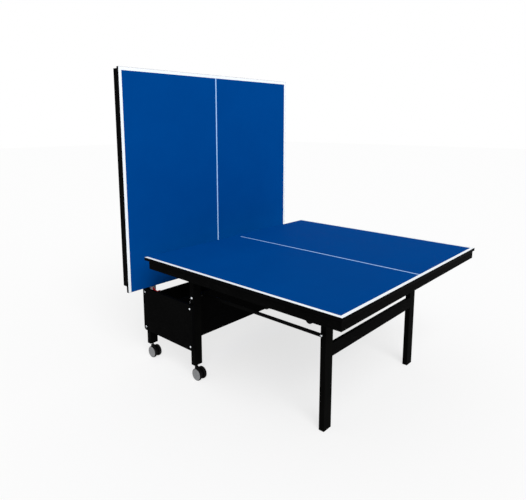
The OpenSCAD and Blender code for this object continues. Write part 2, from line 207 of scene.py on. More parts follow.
@dataclass(frozen=True)
class Finish:
    """One material, from what the real one is and how its surface was made.

    Attributes:
        name: The material's common name.
        colour: Its colour, as sRGB hex.
        worn: The colour that its broad, faint patches lean to, as sRGB hex.
        relief: How its surface was made.
        features: Width, length along the grain and depth of the relief's features, in mm.
        roughness: Lowest and highest roughness, in patches.
        metallic: One for a bare metal.
        specular: Strength of the surface's reflection, half being the usual one.
        patch: Width of the broad patches.
        etched: Share of the colour's change that follows the relief, not the patches.
    """

    name: str
    colour: str
    worn: str
    relief: Relief
    features: tuple[float, float, float]
    roughness: tuple[float, float]
    metallic: float = 0.0
    specular: float = 0.5
    patch: float = 0.25
    etched: float = 0.0

    @cache
    def build(self) -> Material:
        """Builds the material, once.

        Returns:
            The material.
        """
        material = bpy.data.materials.new(self.name)
        material.use_nodes = True
        tree = material.node_tree
        grain = add(tree, "ShaderNodeAttribute", attribute_name=GRAIN).outputs["Vector"]
        patches = {"Vector": grain, "Scale": 1 / self.patch, "Detail": 4.0, "Roughness": 0.6}
        broad = add(tree, "ShaderNodeTexNoise", patches).outputs["Fac"]
        levels = {"Value": broad, "From Min": 0.35, "From Max": 0.65}
        tone = add(tree, "ShaderNodeMapRange", levels)
        height = self._height(tree, grain)
        levels = {"Value": height, "To Min": 1.0, "To Max": 0.0}
        low_spots = add(tree, "ShaderNodeMapRange", levels)
        shares = {0: self.etched, 2: tone, 3: low_spots}
        share = add(tree, "ShaderNodeMix", shares, data_type="FLOAT")
        colours = {0: share, 6: linear(self.colour), 7: linear(self.worn)}
        mix = add(tree, "ShaderNodeMix", colours, data_type="RGBA")
        low, high = self.roughness
        levels = {"Value": broad, "From Min": 0.3, "From Max": 0.7, "To Min": low, "To Max": high}
        sheen = add(tree, "ShaderNodeMapRange", levels)
        relief = {"Height": height, "Distance": self.features[2] * MM, "Strength": 1.0}
        bump = add(tree, "ShaderNodeBump", relief)
        inputs = {"Base Color": mix.outputs[2], "Roughness": sheen, "Normal": bump}
        inputs |= {"Metallic": self.metallic, "Specular IOR Level": self.specular}
        feed(tree, tree.nodes["Principled BSDF"], inputs)
        return material

    def _height(self, tree: NodeTree, grain: NodeSocket) -> NodeSocket:
        """Builds the small relief.

        Args:
            tree: The material's tree.
            grain: The piece's own coordinates.

        Returns:
            The socket that gives the height, from nought to one.
        """
        width, length = self.features[0] * MM, self.features[1] * MM
        scale = (1 / length, 1 / width, 1 / width)
        place = add(tree, "ShaderNodeMapping", {"Vector": grain, "Scale": scale})
        if self.relief is Relief.CRYSTAL:
            cells = add(tree, "ShaderNodeTexVoronoi", {"Vector": place, "Scale": 1.0})
            return cells.outputs["Distance"]
        detail = {Relief.ROLLED: 0.5, Relief.PORES: 2.0, Relief.DRAWN: 3.0}.get(self.relief, 1.0)
        bumps = {"Vector": place, "Scale": 1.0, "Detail": detail}
        noise = add(tree, "ShaderNodeTexNoise", bumps).outputs["Fac"]
        if self.relief is not Relief.PORES:
            return noise
        # A pore is a short cut in an otherwise flat sheet
        levels = {"Value": noise, "From Min": 0.32, "From Max": 0.44}
        cut = add(tree, "ShaderNodeMapRange", levels, interpolation_type="SMOOTHSTEP")
        return cut.outputs[0]


# Blue table paint over medium-density fibreboard: rolled on, low in sheen, even in colour
TABLE_BLUE = Finish(
    "blue table lacquer", "00428a", "00448d", Relief.ROLLED, (1.6, 1.6, 0.03), (0.50, 0.58),
    specular=0.001,
)
# White line paint: printed over the blue, a little chalky
LINE_WHITE = Finish(
    "white line paint", "f7fbff", "f2f7fc", Relief.ROLLED, (1.2, 1.2, 0.03), (0.48, 0.56),
    specular=0.3,
)
# Centre line paint: one thin coat of the same white, so that the blue shows through it
THIN_LINE = Finish(
    "thin white line paint", "a8d0ff", "a2cbfc", Relief.ROLLED, (1.2, 1.2, 0.03), (0.48, 0.56),
    specular=0.3,
)
# Black melamine-faced board: a pressed paper face with shallow wood pores, soft reflections;
# the pores are drawn about twice their real size, so that they show
BLACK_BOARD = Finish(
    "black melamine board", "050505", "0f0f0f", Relief.PORES, (1.6, 34, 0.12), (0.42, 0.52),
    specular=0.003, etched=0.7,
)
# Black ABS edge band: extruded, smoother than the board's face
EDGE_BAND = Finish(
    "black ABS edge band", "050505", "09090a", Relief.DRAWN, (0.6, 40, 0.01), (0.34, 0.42),
    specular=0.003,
)
# Black paint on planed timber: the grain still shows as long faint ridges
PAINTED_TIMBER = Finish(
    "black painted timber", "040404", "0c0c0b", Relief.DRAWN, (2.4, 160, 0.1), (0.38, 0.50),
    specular=0.003, etched=0.6,
)
# Charcoal primer on the hidden face of the fibreboard: dull and a little brown where it is thin
PRIMED_BACK = Finish(
    "charcoal primed fibreboard", "1d1c1b", "2a2826", Relief.ROLLED, (2.6, 2.6, 0.08), (0.62, 0.78),
    specular=0.03, patch=0.12, etched=0.3,
)
# Zinc-plated steel: bright, with faint cloudy crystals
ZINC = Finish(
    "zinc-plated steel", "d9dbdd", "c9ccd0", Relief.CRYSTAL, (1.1, 1.1, 0.01), (0.22, 0.36),
    metallic=1.0, patch=0.006,
)
# Black powder coat on flat steel bar: a fine orange peel
POWDER_COAT = Finish(
    "black powder coat", "050505", "090909", Relief.ROLLED, (0.9, 0.9, 0.03), (0.36, 0.46),
    specular=0.01,
)
# Moulded black nylon: the castor bodies, with the mould's even matt
NYLON = Finish(
    "moulded black nylon", "0a0a0a", "0d0d0d", Relief.SPARKED, (0.35, 0.35, 0.02), (0.45, 0.55),
    specular=0.05, patch=0.03,
)
# Black polyurethane tread: smooth, dulled where it has rolled
TREAD = Finish(
    "black polyurethane tread", "080808", "101010", Relief.SPARKED, (0.5, 0.5, 0.03), (0.55, 0.7),
    specular=0.05, patch=0.02,
)
# Grey polypropylene disc, on the castors' outer wheels only
GREY_DISC = Finish(
    "grey polypropylene", "7d7e80", "77787a", Relief.SPARKED, (0.35, 0.35, 0.02), (0.42, 0.5),
    specular=0.4, patch=0.03,
)
# Black rubber: dry and soft-looking
RUBBER = Finish(
    "black rubber", "0b0b0b", "111111", Relief.SPARKED, (0.6, 0.6, 0.04), (0.68, 0.82),
    specular=0.03, patch=0.03,
)
# Grey paint on pressed steel: the latch brackets
GREY_STEEL = Finish(
    "grey painted steel", "c8c9cb", "bcbdbf", Relief.ROLLED, (0.9, 0.9, 0.02), (0.34, 0.42),
    specular=0.5, patch=0.05,
)
# Red moulded plastic: the latch levers, glossy from handling
RED_PLASTIC = Finish(
    "red moulded plastic", "b3101c", "a80e1a", Relief.SPARKED, (0.4, 0.4, 0.01), (0.24, 0.34),
    specular=0.5, patch=0.02,
)


# ---- Mesh making ----


def box(shape: BMesh, low: Sequence[float], high: Sequence[float]) -> None:
    """Adds a box between two corners.

    Args:
        shape: The mesh that gets the box.
        low: Its lowest corner.
        high: Its highest corner.
    """
    middle = (Vector(low) + Vector(high)) / 2
    size = Vector(high) - Vector(low)
    place = Matrix.Translation(middle) @ Matrix.Diagonal((*size, 1))
    bmesh.ops.create_cube(shape, size=1, matrix=place)


@dataclass(frozen=True)
class Ring:
    """One ring of a turned piece.

    Attributes:
        radius: The ring's radius, or the most that a hexagon's corners reach.
        height: The ring's place along the axis.
        flats: Half the distance across a hexagon's flats, or nought for a round ring.
    """

    radius: float
    height: float
    flats: float = 0.0

    def reach(self, angle: float) -> float:
        """The ring's radius at an angle, cut back to its flats if it has them."""
        within = (angle + math.pi / 6) % (math.pi / 3) - math.pi / 6
        return min(self.radius, self.flats / math.cos(within)) if self.flats else self.radius


def skin(shape: BMesh, rows: Sequence[Sequence[BMVert]], paint: Callable[[int], int]) -> None:
    """Joins each row of points to the next with faces; a row of one point is a pole.

    Args:
        shape: The mesh that the points are in.
        rows: The rows, each closed in a ring.
        paint: Gives the material number of the faces after a row.
    """
    for number, (lower, upper) in enumerate(zip(rows, rows[1:])):
        for k in range(max(len(lower), len(upper))):
            steps = ((lower, k), (lower, k + 1), (upper, k + 1), (upper, k))
            corners = dict.fromkeys(row[n % len(row)] for row, n in steps)
            face = shape.faces.new(list(corners))
            face.material_index = paint(number)
            face.smooth = True


def turned(
    shape: BMesh,
    rings: Sequence[Ring],
    place: Matrix,
    steps: int = 48,
    paint: Callable[[int], int] = lambda ring: 0,
) -> None:
    """Adds a piece turned about an axis, closed at both ends.

    Args:
        shape: The mesh that gets the piece.
        rings: The rings, from one end to the other; a ring of no radius is a pole.
        place: The matrix that takes the z axis to the piece's axis.
        steps: How many sides the piece has.
        paint: Gives the material number of the faces after a ring.
    """
    rows = []
    for ring in rings:
        row = []
        for k in range(1 if ring.radius == 0 else steps):
            angle = 2 * math.pi * k / steps
            reach = ring.reach(angle)
            at = Vector((reach * math.cos(angle), reach * math.sin(angle), ring.height))
            row.append(shape.verts.new(place @ at))
        rows.append(row)
    skin(shape, rows, paint)


def towards(direction: Sequence[float], at: Sequence[float]) -> Matrix:
    """The matrix that takes the z axis to a direction at a place."""
    turn = Vector(direction).to_track_quat("Z", "X").to_matrix().to_4x4()
    return Matrix.Translation(Vector(at)) @ turn


def outwards(shape: BMesh) -> None:
    """Merges doubled points and turns every face outwards."""
    bmesh.ops.remove_doubles(shape, verts=shape.verts, dist=MERGE)
    bmesh.ops.recalc_face_normals(shape, faces=shape.faces)


def write_grain(mesh: Mesh, back: Matrix) -> None:
    """Stores each point's place on the piece as it lies flat, with x along its longest side.

    Args:
        mesh: The finished mesh, in its place.
        back: The matrix from that place to the piece lying flat.
    """
    flat = [back @ point.co for point in mesh.vertices]
    spans = [max(p[k] for p in flat) - min(p[k] for p in flat) for k in range(3)]
    order = sorted(range(3), key=lambda k: -spans[k])
    layer = mesh.attributes.new(GRAIN, VECTOR, "POINT")
    for item, point in zip(layer.data, flat):
        item.vector = [point[k] for k in order]


def soften(piece: Object, width: float) -> None:
    """Rounds the piece's edges with a bevel that keeps its flat faces flat.

    Args:
        piece: The piece.
        width: Width of the bevel.
    """
    bevel = piece.modifiers.new("rounded edges", "BEVEL")
    bevel.width = width
    bevel.segments = 2
    bevel.limit_method = "ANGLE"
    bevel.angle_limit = BEND
    bevel.harden_normals = True


def mesh_of(name: str, shape: BMesh) -> Mesh:
    """Turns a shape into a mesh, and frees the shape.

    Args:
        name: The mesh's name.
        shape: The shape.

    Returns:
        The new mesh.
    """
    mesh = bpy.data.meshes.new(name)
    shape.to_mesh(mesh)
    shape.free()
    return mesh


def in_scene(name: str, data: ID) -> Object:
    """Makes an object of a mesh, a lamp or a camera and puts it in the scene.

    Args:
        name: The object's name.
        data: What it is made of.

    Returns:
        The new object.
    """
    made = bpy.data.objects.new(name, data)
    bpy.context.scene.collection.objects.link(made)
    return made


def dressed(name: str, shape: BMesh, finishes: Sequence[Finish], back: Matrix) -> Object:
    """Turns a placed shape into an object with its finishes, its grain and smooth shading.

    Args:
        name: The object's name.
        shape: The shape. It is freed.
        finishes: The materials, in the order of their numbers.
        back: The matrix from the shape's place to the piece lying flat.

    Returns:
        The new object.
    """
    mesh = mesh_of(name, shape)
    for layer in mesh.uv_layers.keys():
        mesh.uv_layers.remove(mesh.uv_layers[layer])
    for finish in finishes:
        mesh.materials.append(finish.build())
    write_grain(mesh, back)
    mesh.polygons.foreach_set("use_smooth", [True] * len(mesh.polygons))
    mesh.set_sharp_from_angle(angle=SHARP)
    return in_scene(name, mesh)


def ride(piece: Object, body: str) -> None:
    """Makes a piece move with a body.

    Args:
        piece: The piece.
        body: The body that it moves with.
    """
    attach(piece, body)
    log.info("%s rides on %s", piece.name, body)


def fit(piece: Object, node: str) -> None:
    """Makes a piece stand for its CAD node: it moves with the node's body, and the node is hidden."""
    ride(piece, BODY_OF[node])
    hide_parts(node)


def piece_of(
    node: str, shape: BMesh, finishes: Sequence[Finish], place: Matrix = HERE
) -> None:
    """Turns a mesh into a finished piece that stands for a CAD node.

    Args:
        node: The CAD node.
        shape: The piece's mesh, before placing. It is freed.
        finishes: Its materials, in the order of their numbers.
        place: The matrix that places the piece.
    """
    shape.transform(place)
    if place.determinant() < 0:
        bmesh.ops.reverse_faces(shape, faces=shape.faces)
    fit(dressed(node + "_made", shape, finishes, place.inverted()), node)


def board_from(
    node: str,
    finishes: Sequence[Finish],
    place: Matrix = HERE,
    edge: float = 0.8 * MM,
    paint: Callable[[Vector], int] = lambda normal: 0,
) -> None:
    """Makes a piece from a merged copy of a CAD node, with rounded edges.

    Args:
        node: The CAD node.
        finishes: The piece's materials, in the order of their numbers.
        place: The matrix that took the piece from flat to its place.
        edge: Width of the rounding along its edges.
        paint: Gives a face's material number from its normal, lying flat.
    """
    back = place.inverted()
    turn = back.to_3x3()
    shape = bmesh.new()
    shape.from_mesh(frame["nodes"][node].data)
    bmesh.ops.remove_doubles(shape, verts=shape.verts, dist=MERGE)
    bmesh.ops.dissolve_limit(
        shape, angle_limit=math.radians(0.5), verts=shape.verts, edges=shape.edges
    )
    for face in shape.faces:
        face.material_index = paint(turn @ face.normal)
    piece = dressed(node + "_made", shape, finishes, back)
    soften(piece, edge)
    fit(piece, node)


def rim_band(axis: int) -> Callable[[Vector], int]:
    """Paints a panel: edge band round its rim, and board on the two faces across an axis."""
    return lambda normal: 0 if abs(normal[axis]) > 0.5 else 1


def long_band(normal: Vector) -> int:
    """Paints a board on edge: edge band on its upper and lower edges, board elsewhere."""
    return 1 if abs(normal.z) > 0.5 else 0


# ---- Repeated pieces, made by geometry nodes ----


def new_tree(name: str, inputs: dict[str, str]) -> NodeTree:
    """Makes a geometry node tree with named inputs and one geometry output.

    Args:
        name: The tree's name.
        inputs: What each input holds, by name.

    Returns:
        The new tree.
    """
    tree = bpy.data.node_groups.new(name, "GeometryNodeTree")
    for label, kind in inputs.items():
        tree.interface.new_socket(label, in_out="INPUT", socket_type="NodeSocket" + kind)
    tree.interface.new_socket("Geometry", in_out="OUTPUT", socket_type="NodeSocketGeometry")
    return tree


def run_tree(tree: NodeTree, source: Mesh, values: dict[str, object]) -> Mesh:
    """Runs a geometry node tree on a mesh and keeps the result as a plain mesh.

    Args:
        tree: The tree.
        source: The mesh that it starts from.
        values: The value of each named input.

    Returns:
        The resulting mesh.
    """
    carrier = in_scene("carrier", source)
    modifier = carrier.modifiers.new(tree.name, "NODES")
    modifier.node_group = tree
    for item in tree.interface.items_tree:
        if item.in_out == "INPUT" and item.name in values:
            modifier[item.identifier] = values[item.name]
    graph = bpy.context.evaluated_depsgraph_get()
    made = bpy.data.meshes.new_from_object(carrier.evaluated_get(graph))
    bpy.data.objects.remove(carrier)
    return made


@dataclass
class ScrewSet:
    """Screws of one kind, set at many places by geometry nodes.

    Attributes:
        head: Diameter of the heads.
        crown: Height of the heads.
        finish: The screws' finish.
        places: Each screw's seat and the direction its head faces.
    """

    head: float
    crown: float
    finish: Finish = ZINC
    places: list[tuple[Vector, Vector]] = field(default_factory=list)

    @staticmethod
    @cache
    def tree() -> NodeTree:
        """Builds, once, the tree that sets a unit screw on points, each turned by chance.

        Returns:
            The tree.
        """
        inputs = {"Geometry": "Geometry", "Screw": "Object", "Finish": "Material"}
        inputs |= {"Head diameter": "Float", "Head height": "Float"}
        tree = new_tree("screws on points", inputs)
        given = add(tree, "NodeGroupInput").outputs
        name = {"Name": "facing"}
        facing = add(tree, "GeometryNodeInputNamedAttribute", name, data_type=VECTOR)
        aim = add(tree, "FunctionNodeAlignRotationToVector", {"Vector": facing}, axis="Z")
        wide, high = given["Head diameter"], given["Head height"]
        size = add(tree, "ShaderNodeCombineXYZ", {"X": wide, "Y": wide, "Z": high})
        screw = add(tree, "GeometryNodeObjectInfo", {"Object": given["Screw"]})
        spread = {"Points": given["Geometry"], "Instance": screw.outputs["Geometry"]}
        spread |= {"Rotation": aim, "Scale": size}
        placed = add(tree, "GeometryNodeInstanceOnPoints", spread)
        half_turn = {"Min": (0.0, 0.0, 0.0), "Max": (0.0, 0.0, math.pi), "Seed": 7}
        chance = add(tree, "FunctionNodeRandomValue", half_turn, data_type=VECTOR)
        turns = {"Instances": placed, "Rotation": chance}
        spun = add(tree, "GeometryNodeRotateInstances", turns)
        whole = add(tree, "GeometryNodeRealizeInstances", {"Geometry": spun})
        finish = {"Geometry": whole, "Material": given["Finish"]}
        result = add(tree, "GeometryNodeSetMaterial", finish)
        add(tree, "NodeGroupOutput", {"Geometry": result})
        return tree

    def unit_screw(self) -> Object:
        """Makes a domed head with a hexagon socket, one wide and one high, sitting at z 0.

        Returns:
            The screw, outside the scene.
        """
        shape = bmesh.new()
        shank = ((0, -0.3), (0.2, -0.3), (0.22, 0), (0.48, 0), (0.5, 0.08))
        dome = ((0.49, 0.25), (0.45, 0.5), (0.38, 0.74), (0.28, 0.93), (0.245, 0.97))
        rings = [Ring(radius, height) for radius, height in shank + dome]
        rings += [Ring(0.25, 0.94, 0.19), Ring(0.25, 0.3, 0.185), Ring(0, 0.2)]
        turned(shape, rings, HERE, steps=24)
        outwards(shape)
        mesh = mesh_of("unit screw", shape)
        mesh.set_sharp_from_angle(angle=SHARP)
        return bpy.data.objects.new("unit screw", mesh)

    def mesh(self, place: Matrix = HERE) -> Mesh:
        """Runs the tree on this set's places.

        Args:
            place: The matrix that then carries the screws to their piece.

        Returns:
            The screws' mesh, with its grain.
        """
        points = bpy.data.meshes.new("screw places")
        points.from_pydata([seat for seat, _ in self.places], [], [])
        facing = points.attributes.new("facing", VECTOR, "POINT")
        for item, (_, way) in zip(facing.data, self.places):
            item.vector = way
        screw = self.unit_screw()
        values = {"Screw": screw, "Finish": self.finish.build()}
        values |= {"Head diameter": self.head, "Head height": self.crown}
        made = run_tree(self.tree(), points, values)
        bpy.data.objects.remove(screw)
        made.transform(place)
        if place.determinant() < 0:
            made.flip_normals()
        write_grain(made, HERE)
        return made


# ---- Bolts and nuts ----


@dataclass(frozen=True)
class BoltStack:
    """A bolt that runs in from one edge of the table, with its spacer and nut.

    Attributes:
        shape: The mesh that gets the bolt.
        edge: The edge of the table that its head faces.
        axis: A point on its axis, of which y doesn't count.
        seat: Where its head sits, along y.
        nut: Where its nut sits, along y.
        spacer: Where its spacer or washer starts and ends, along y.
        width: Diameter of the spacer.
        shank: Its diameter.
        head: Diameter of its head and nut.
        crown: Height of its head, and of the nut with the shank's end.
        foot: Width and height of the broken edge under the head.
        socket: Half the width of the hexagon socket.
        chamfer: Chamfer of the shank's end and of the nut's corners.
        rim: Broken edge of the spacer and of the nut's bore.
        tip: How far the shank stands out of the nut.
        loose: Gap between the shank and the bores.
    """

    shape: BMesh
    edge: Edge
    axis: Vector
    seat: float
    nut: float
    spacer: tuple[float, float]
    width: float = 16 * MM
    shank: float = 10 * MM
    head: float = 17 * MM
    crown: float = 4 * MM
    foot: tuple[float, float] = (0.2 * MM, 0.3 * MM)
    socket: float = 3 * MM
    chamfer: float = 0.8 * MM
    rim: float = 0.5 * MM
    tip: float = 0.2 * MM
    loose: float = 0.05 * MM

    @property
    def bore(self) -> float:
        """Radius of the bores that the shank runs through."""
        return self.shank / 2 + self.loose

    def place(self, y: float, way: int = 1) -> Matrix:
        """The matrix that takes the z axis to the bolt's axis, inwards if way is one."""
        return towards((0, self.edge.inwards * way, 0), (self.axis.x, y, self.axis.z))

    def make(self) -> None:
        """Adds the bolt, its spacer and its nut."""
        self.make_head()
        self.make_spacer()
        self.make_nut()

    def make_head(self) -> None:
        """Adds a domed head with a hexagon socket, and the shank behind it."""
        radius, crown, inner = self.head / 2, self.crown, self.shank / 2
        reach = abs(self.nut - self.seat) + crown
        dome = ((0.975, 0.25), (0.89, 0.52), (0.75, 0.76), (0.56, 0.93), (0.45, 1))
        rings = [
            Ring(0, -reach),
            Ring(inner - self.chamfer, -reach),
            Ring(inner, -reach + self.chamfer),
            Ring(inner, 0),
            Ring(radius - self.foot[0], 0),
            Ring(radius, self.foot[1]),
            *(Ring(radius * out, crown * up) for out, up in dome),
            Ring(radius, crown * 0.97, self.socket),
            Ring(radius, crown * 0.35, self.socket - self.loose),
            Ring(0, crown * 0.25),
        ]
        turned(self.shape, rings, self.place(self.seat, -1))

    def make_spacer(self) -> None:
        """Adds the spacer."""
        start, end = self.spacer
        length, radius = abs(end - start), self.width / 2
        rim = min(self.rim, length / 4)
        half = (
            Ring(self.bore, rim),
            Ring(self.bore + rim, 0),
            Ring(radius - rim, 0),
            Ring(radius, rim),
        )
        self.collar(start, length, half, 1)

    def make_nut(self) -> None:
        """Adds the hexagon nut."""
        radius = self.head / 2
        flats = radius * math.cos(math.pi / 6)
        half = (
            Ring(self.bore, self.chamfer),
            Ring(self.bore + self.rim, 0),
            Ring(flats * 0.97, 0),
            Ring(radius, self.chamfer, flats),
        )
        self.collar(self.nut, self.crown - self.tip, half, 0)

    def collar(self, start: float, length: float, half: Sequence[Ring], material: int) -> None:
        """Adds a collar round the shank, with both its ends alike.

        Args:
            start: Where the collar starts, along y.
            length: Its length.
            half: The rings of its first half, from the bore outwards.
            material: Its material number.
        """
        other = [replace(ring, height=length - ring.height) for ring in reversed(half)]
        rings = [*half, *other, half[0]]
        turned(self.shape, rings, self.place(start), paint=lambda ring: material)


# ---- The two halves ----


class Coat(IntEnum):
    """The numbers of the playing board's materials."""

    BLUE = 0
    LINE = 1
    BACK = 2
    BAND = 3
    CENTRE_LINE = 4


@dataclass
class TableHalf:
    """One half of the table: its board, aprons, rails, bumpers, pivot bolts and screws.

    Attributes:
        side: Which half it is.
        line: Width of the edge lines.
        centre_line: Width of the centre line, three times the real one, so that it shows.
        line_start: Distance from the net edge to the start of the centre line.
        band: Thickness of the edge band.
        corner: Rounding of the edge band.
        washer: Diameter of the fold bolts' washers.
        sunk: How far the fold bolts' thread lies within the rails.
        screw_pitch: Distance between the screws that hold the aprons and rails.
        screw_head: Diameter of those screws' heads.
        screw_crown: Height of those screws' heads.
        pad_out: Distance from the leg hinge to the middle of each bumper pad.
        pad_width: Width of the bumper pads.
        pad_rim: Rounding of the bumper pads' lower rim.
        large_pad: Length and thickness of the pads beyond the legs.
        small_pad: Length and thickness of the pads on the net side of the legs.
    """

    side: Side
    line: float = 20 * MM
    centre_line: float = 9 * MM
    line_start: float = 45 * MM
    band: float = 1.0 * MM
    corner: float = 0.6 * MM
    washer: float = 17 * MM
    sunk: float = 3.8 * MM
    screw_pitch: float = 240 * MM
    screw_head: float = 8 * MM
    screw_crown: float = 0.9 * MM
    pad_out: float = 133 * MM
    pad_width: float = 14 * MM
    pad_rim: float = 1.2 * MM
    large_pad: tuple[float, float] = (60 * MM, 3 * MM)
    small_pad: tuple[float, float] = (32 * MM, 2 * MM)

    @property
    def place(self) -> Matrix:
        """The matrix from the level half to this one."""
        return HERE if self.side is Side.RIGHT else turned_up("left_fold")

    def node(self, name: str) -> str:
        """The full name of a piece or body of this half."""
        return f"{self.side.value}_{name}"

    def build(self) -> None:
        """Builds every piece of the half."""
        self.top_board()
        for name in ("near_apron", "far_apron", "end_apron", "near_rail", "far_rail", "net_rail"):
            board_from(self.node(name), (BLACK_BOARD, EDGE_BAND), self.place, paint=long_band)
        self.bumper_pads()
        self.pivot_bolts()
        self.fixing_screws()

    def top_board(self) -> None:
        """Builds the playing board: a painted core with its lines, and an edge band round it."""
        low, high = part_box("right_top_board")
        inset = Vector((self.band, self.band, 0))
        shape = bmesh.new()
        box(shape, low + inset, high - inset)
        half = self.centre_line / 2
        along, across = Vector((1, 0, 0)), Vector((0, 1, 0))
        cuts = [(along, high.x - self.line), (along, low.x + self.line_start)]
        edges = (low.y + self.line, high.y - self.line, -half, half)
        cuts += [(across, place) for place in edges]
        for way, place in cuts:
            everything = shape.verts[:] + shape.edges[:] + shape.faces[:]
            bmesh.ops.bisect_plane(shape, geom=everything, plane_co=way * place, plane_no=way)
        for face in shape.faces:
            middle = face.calc_center_median()
            if face.normal.z < 0.5:
                face.material_index = Coat.BACK
            elif middle.x > high.x - self.line or abs(middle.y) > high.y - self.line:
                face.material_index = Coat.LINE
            elif abs(middle.y) < half and middle.x > low.x + self.line_start:
                face.material_index = Coat.CENTRE_LINE
            else:
                face.material_index = Coat.BLUE
        self.edge_band(shape, low, high)
        finishes = (TABLE_BLUE, LINE_WHITE, PRIMED_BACK, EDGE_BAND, THIN_LINE)
        piece_of(self.node("top_board"), shape, finishes, self.place)

    def edge_band(self, shape: BMesh, low: Vector, high: Vector) -> None:
        """Adds the edge band, a strip with rounded corners that runs round the board.

        Args:
            shape: The board's mesh.
            low: The board's lowest corner.
            high: The board's highest corner.
        """
        corner = self.corner
        half = ((self.band, 0), (corner, 0), (corner * 0.3, corner * 0.3), (0, corner))
        profile = [(inset, low.z + up) for inset, up in half]
        profile += [(inset, high.z - down) for inset, down in reversed(half)]
        rows = []
        for inset, z in profile:
            x0, x1 = low.x + inset, high.x - inset
            y0, y1 = low.y + inset, high.y - inset
            corners = ((x0, y0), (x1, y0), (x1, y1), (x0, y1))
            rows.append([shape.verts.new((x, y, z)) for x, y in corners])
        skin(shape, [*rows, rows[0]], lambda row: Coat.BAND)

    def bumper_pads(self) -> None:
        """Builds the rubber pads under the side aprons, which keep the folded halves off a wall."""
        shape = bmesh.new()
        for edge in Edge:
            low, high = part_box(f"right_{edge.value}_apron")
            for way, (length, drop) in ((1, self.large_pad), (-1, self.small_pad)):
                x = pivot("right_leg_hinge").x + way * self.pad_out
                self.pad(shape, Vector((x, (low.y + high.y) / 2, low.z)), length, drop)
        outwards(shape)
        piece_of(self.node("bumpers"), shape, (RUBBER,), self.place)

    def pad(self, shape: BMesh, top: Vector, length: float, drop: float) -> None:
        """Adds one pad with round ends and a softly rounded lower rim.

        Args:
            shape: The mesh that gets the pad.
            top: The middle of its upper face.
            length: Its length, along x.
            drop: Its thickness.
        """
        rim, steps = self.pad_rim, 24
        straight = (length - self.pad_width) / 2
        rows = []
        for inset, down in ((0, 0), (0, drop - rim), (rim * 0.3, drop - rim * 0.3), (rim, drop)):
            radius = self.pad_width / 2 - inset
            row = []
            for k in range(steps):
                angle = 2 * math.pi * (k + 0.5) / steps
                reach = straight if math.cos(angle) > 0 else -straight
                around = Vector((math.cos(angle), math.sin(angle), 0)) * radius
                row.append(shape.verts.new(top + around + Vector((reach, 0, -down))))
            rows.append(row)
        skin(shape, rows, lambda row: 0)
        shape.faces.new(rows[0])
        shape.faces.new(rows[-1])

    def pivot_bolts(self) -> None:
        """Builds the fold bolts and the leg bolts with their washers, spacers and nuts."""
        shape = bmesh.new()
        fold, hinge = pivot("right_fold"), pivot("right_leg_hinge")
        for edge in Edge:
            gap = edge.inwards * PLAY
            post, rail, leg = (span(edge, name) for name in ("post", "rail", "leg"))
            end, washer = rail[1] - edge.inwards * self.sunk, (post[1] + gap, rail[0])
            bolt = BoltStack(shape, edge, fold, post[0] - gap, end, washer, width=self.washer)
            bolt.make_head()
            bolt.make_spacer()
            spacer = (rail[1], leg[0] - gap)
            BoltStack(shape, edge, hinge, rail[0], leg[1] + gap, spacer).make()
        outwards(shape)
        piece_of(self.node("pivot_bolts"), shape, (ZINC, NYLON), self.place)

    def fixing_screws(self) -> None:
        """Sets the screws that hold the aprons and rails to the board; no CAD node has them."""
        screws = ScrewSet(self.screw_head, self.screw_crown)
        down = Vector((0, 0, -1))
        for name in ("near_apron", "far_apron", "near_rail", "far_rail"):
            low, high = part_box("right_" + name)
            count = int((high.x - low.x) // self.screw_pitch)
            first = (low.x + high.x - (count - 1) * self.screw_pitch) / 2
            for k in range(count):
                x = first + k * self.screw_pitch
                screws.places.append((Vector((x, (low.y + high.y) / 2, low.z)), down))
        piece = in_scene(self.node("fixing_screws"), screws.mesh(self.place))
        ride(piece, self.node("half"))


@dataclass
class LegFrame:
    """The two legs of one half, the board that joins them, and their bolts.

    Attributes:
        side: Which half it is.
        edge: Width of the rounding along the legs' edges.
        head: Diameter of the bolts' heads and nuts.
    """

    side: Side
    edge: float = 1.6 * MM
    head: float = 13 * MM

    def build(self) -> None:
        """Builds every piece of the leg frame."""
        place = HERE if self.side is Side.RIGHT else legs_up()
        word = self.side.value
        for name in ("near_leg", "far_leg"):
            board_from(f"{word}_{name}", (PAINTED_TIMBER,), place, edge=self.edge)
        board_from(f"{word}_leg_stretcher", (BLACK_BOARD,), place)
        shape = bmesh.new()
        axis = Vector((pivot("right_leg_hinge").x, 0, pivot("right_link_hinge").z))
        for edge in Edge:
            gap = edge.inwards * PLAY
            link, leg = span(edge, "link"), span(edge, "leg")
            spacer = (link[1] + gap, leg[0])
            BoltStack(shape, edge, axis, link[0] - gap, leg[1], spacer, head=self.head).make()
        outwards(shape)
        piece_of(f"{word}_leg_bolts", shape, (ZINC, NYLON), place)


@dataclass
class LinkPair:
    """The two flat link bars of one half.

    Attributes:
        side: Which half it is.
        edge: Width of the rounding along the bars' edges.
    """

    side: Side
    edge: float = 0.6 * MM

    def build(self) -> None:
        """Builds the link bars."""
        place = HERE if self.side is Side.RIGHT else turned_up("left_link_hinge")
        for edge in Edge:
            node = f"{self.side.value}_{edge.value}_link"
            board_from(node, (POWDER_COAT,), place, edge=self.edge)


# ---- The trolley ----


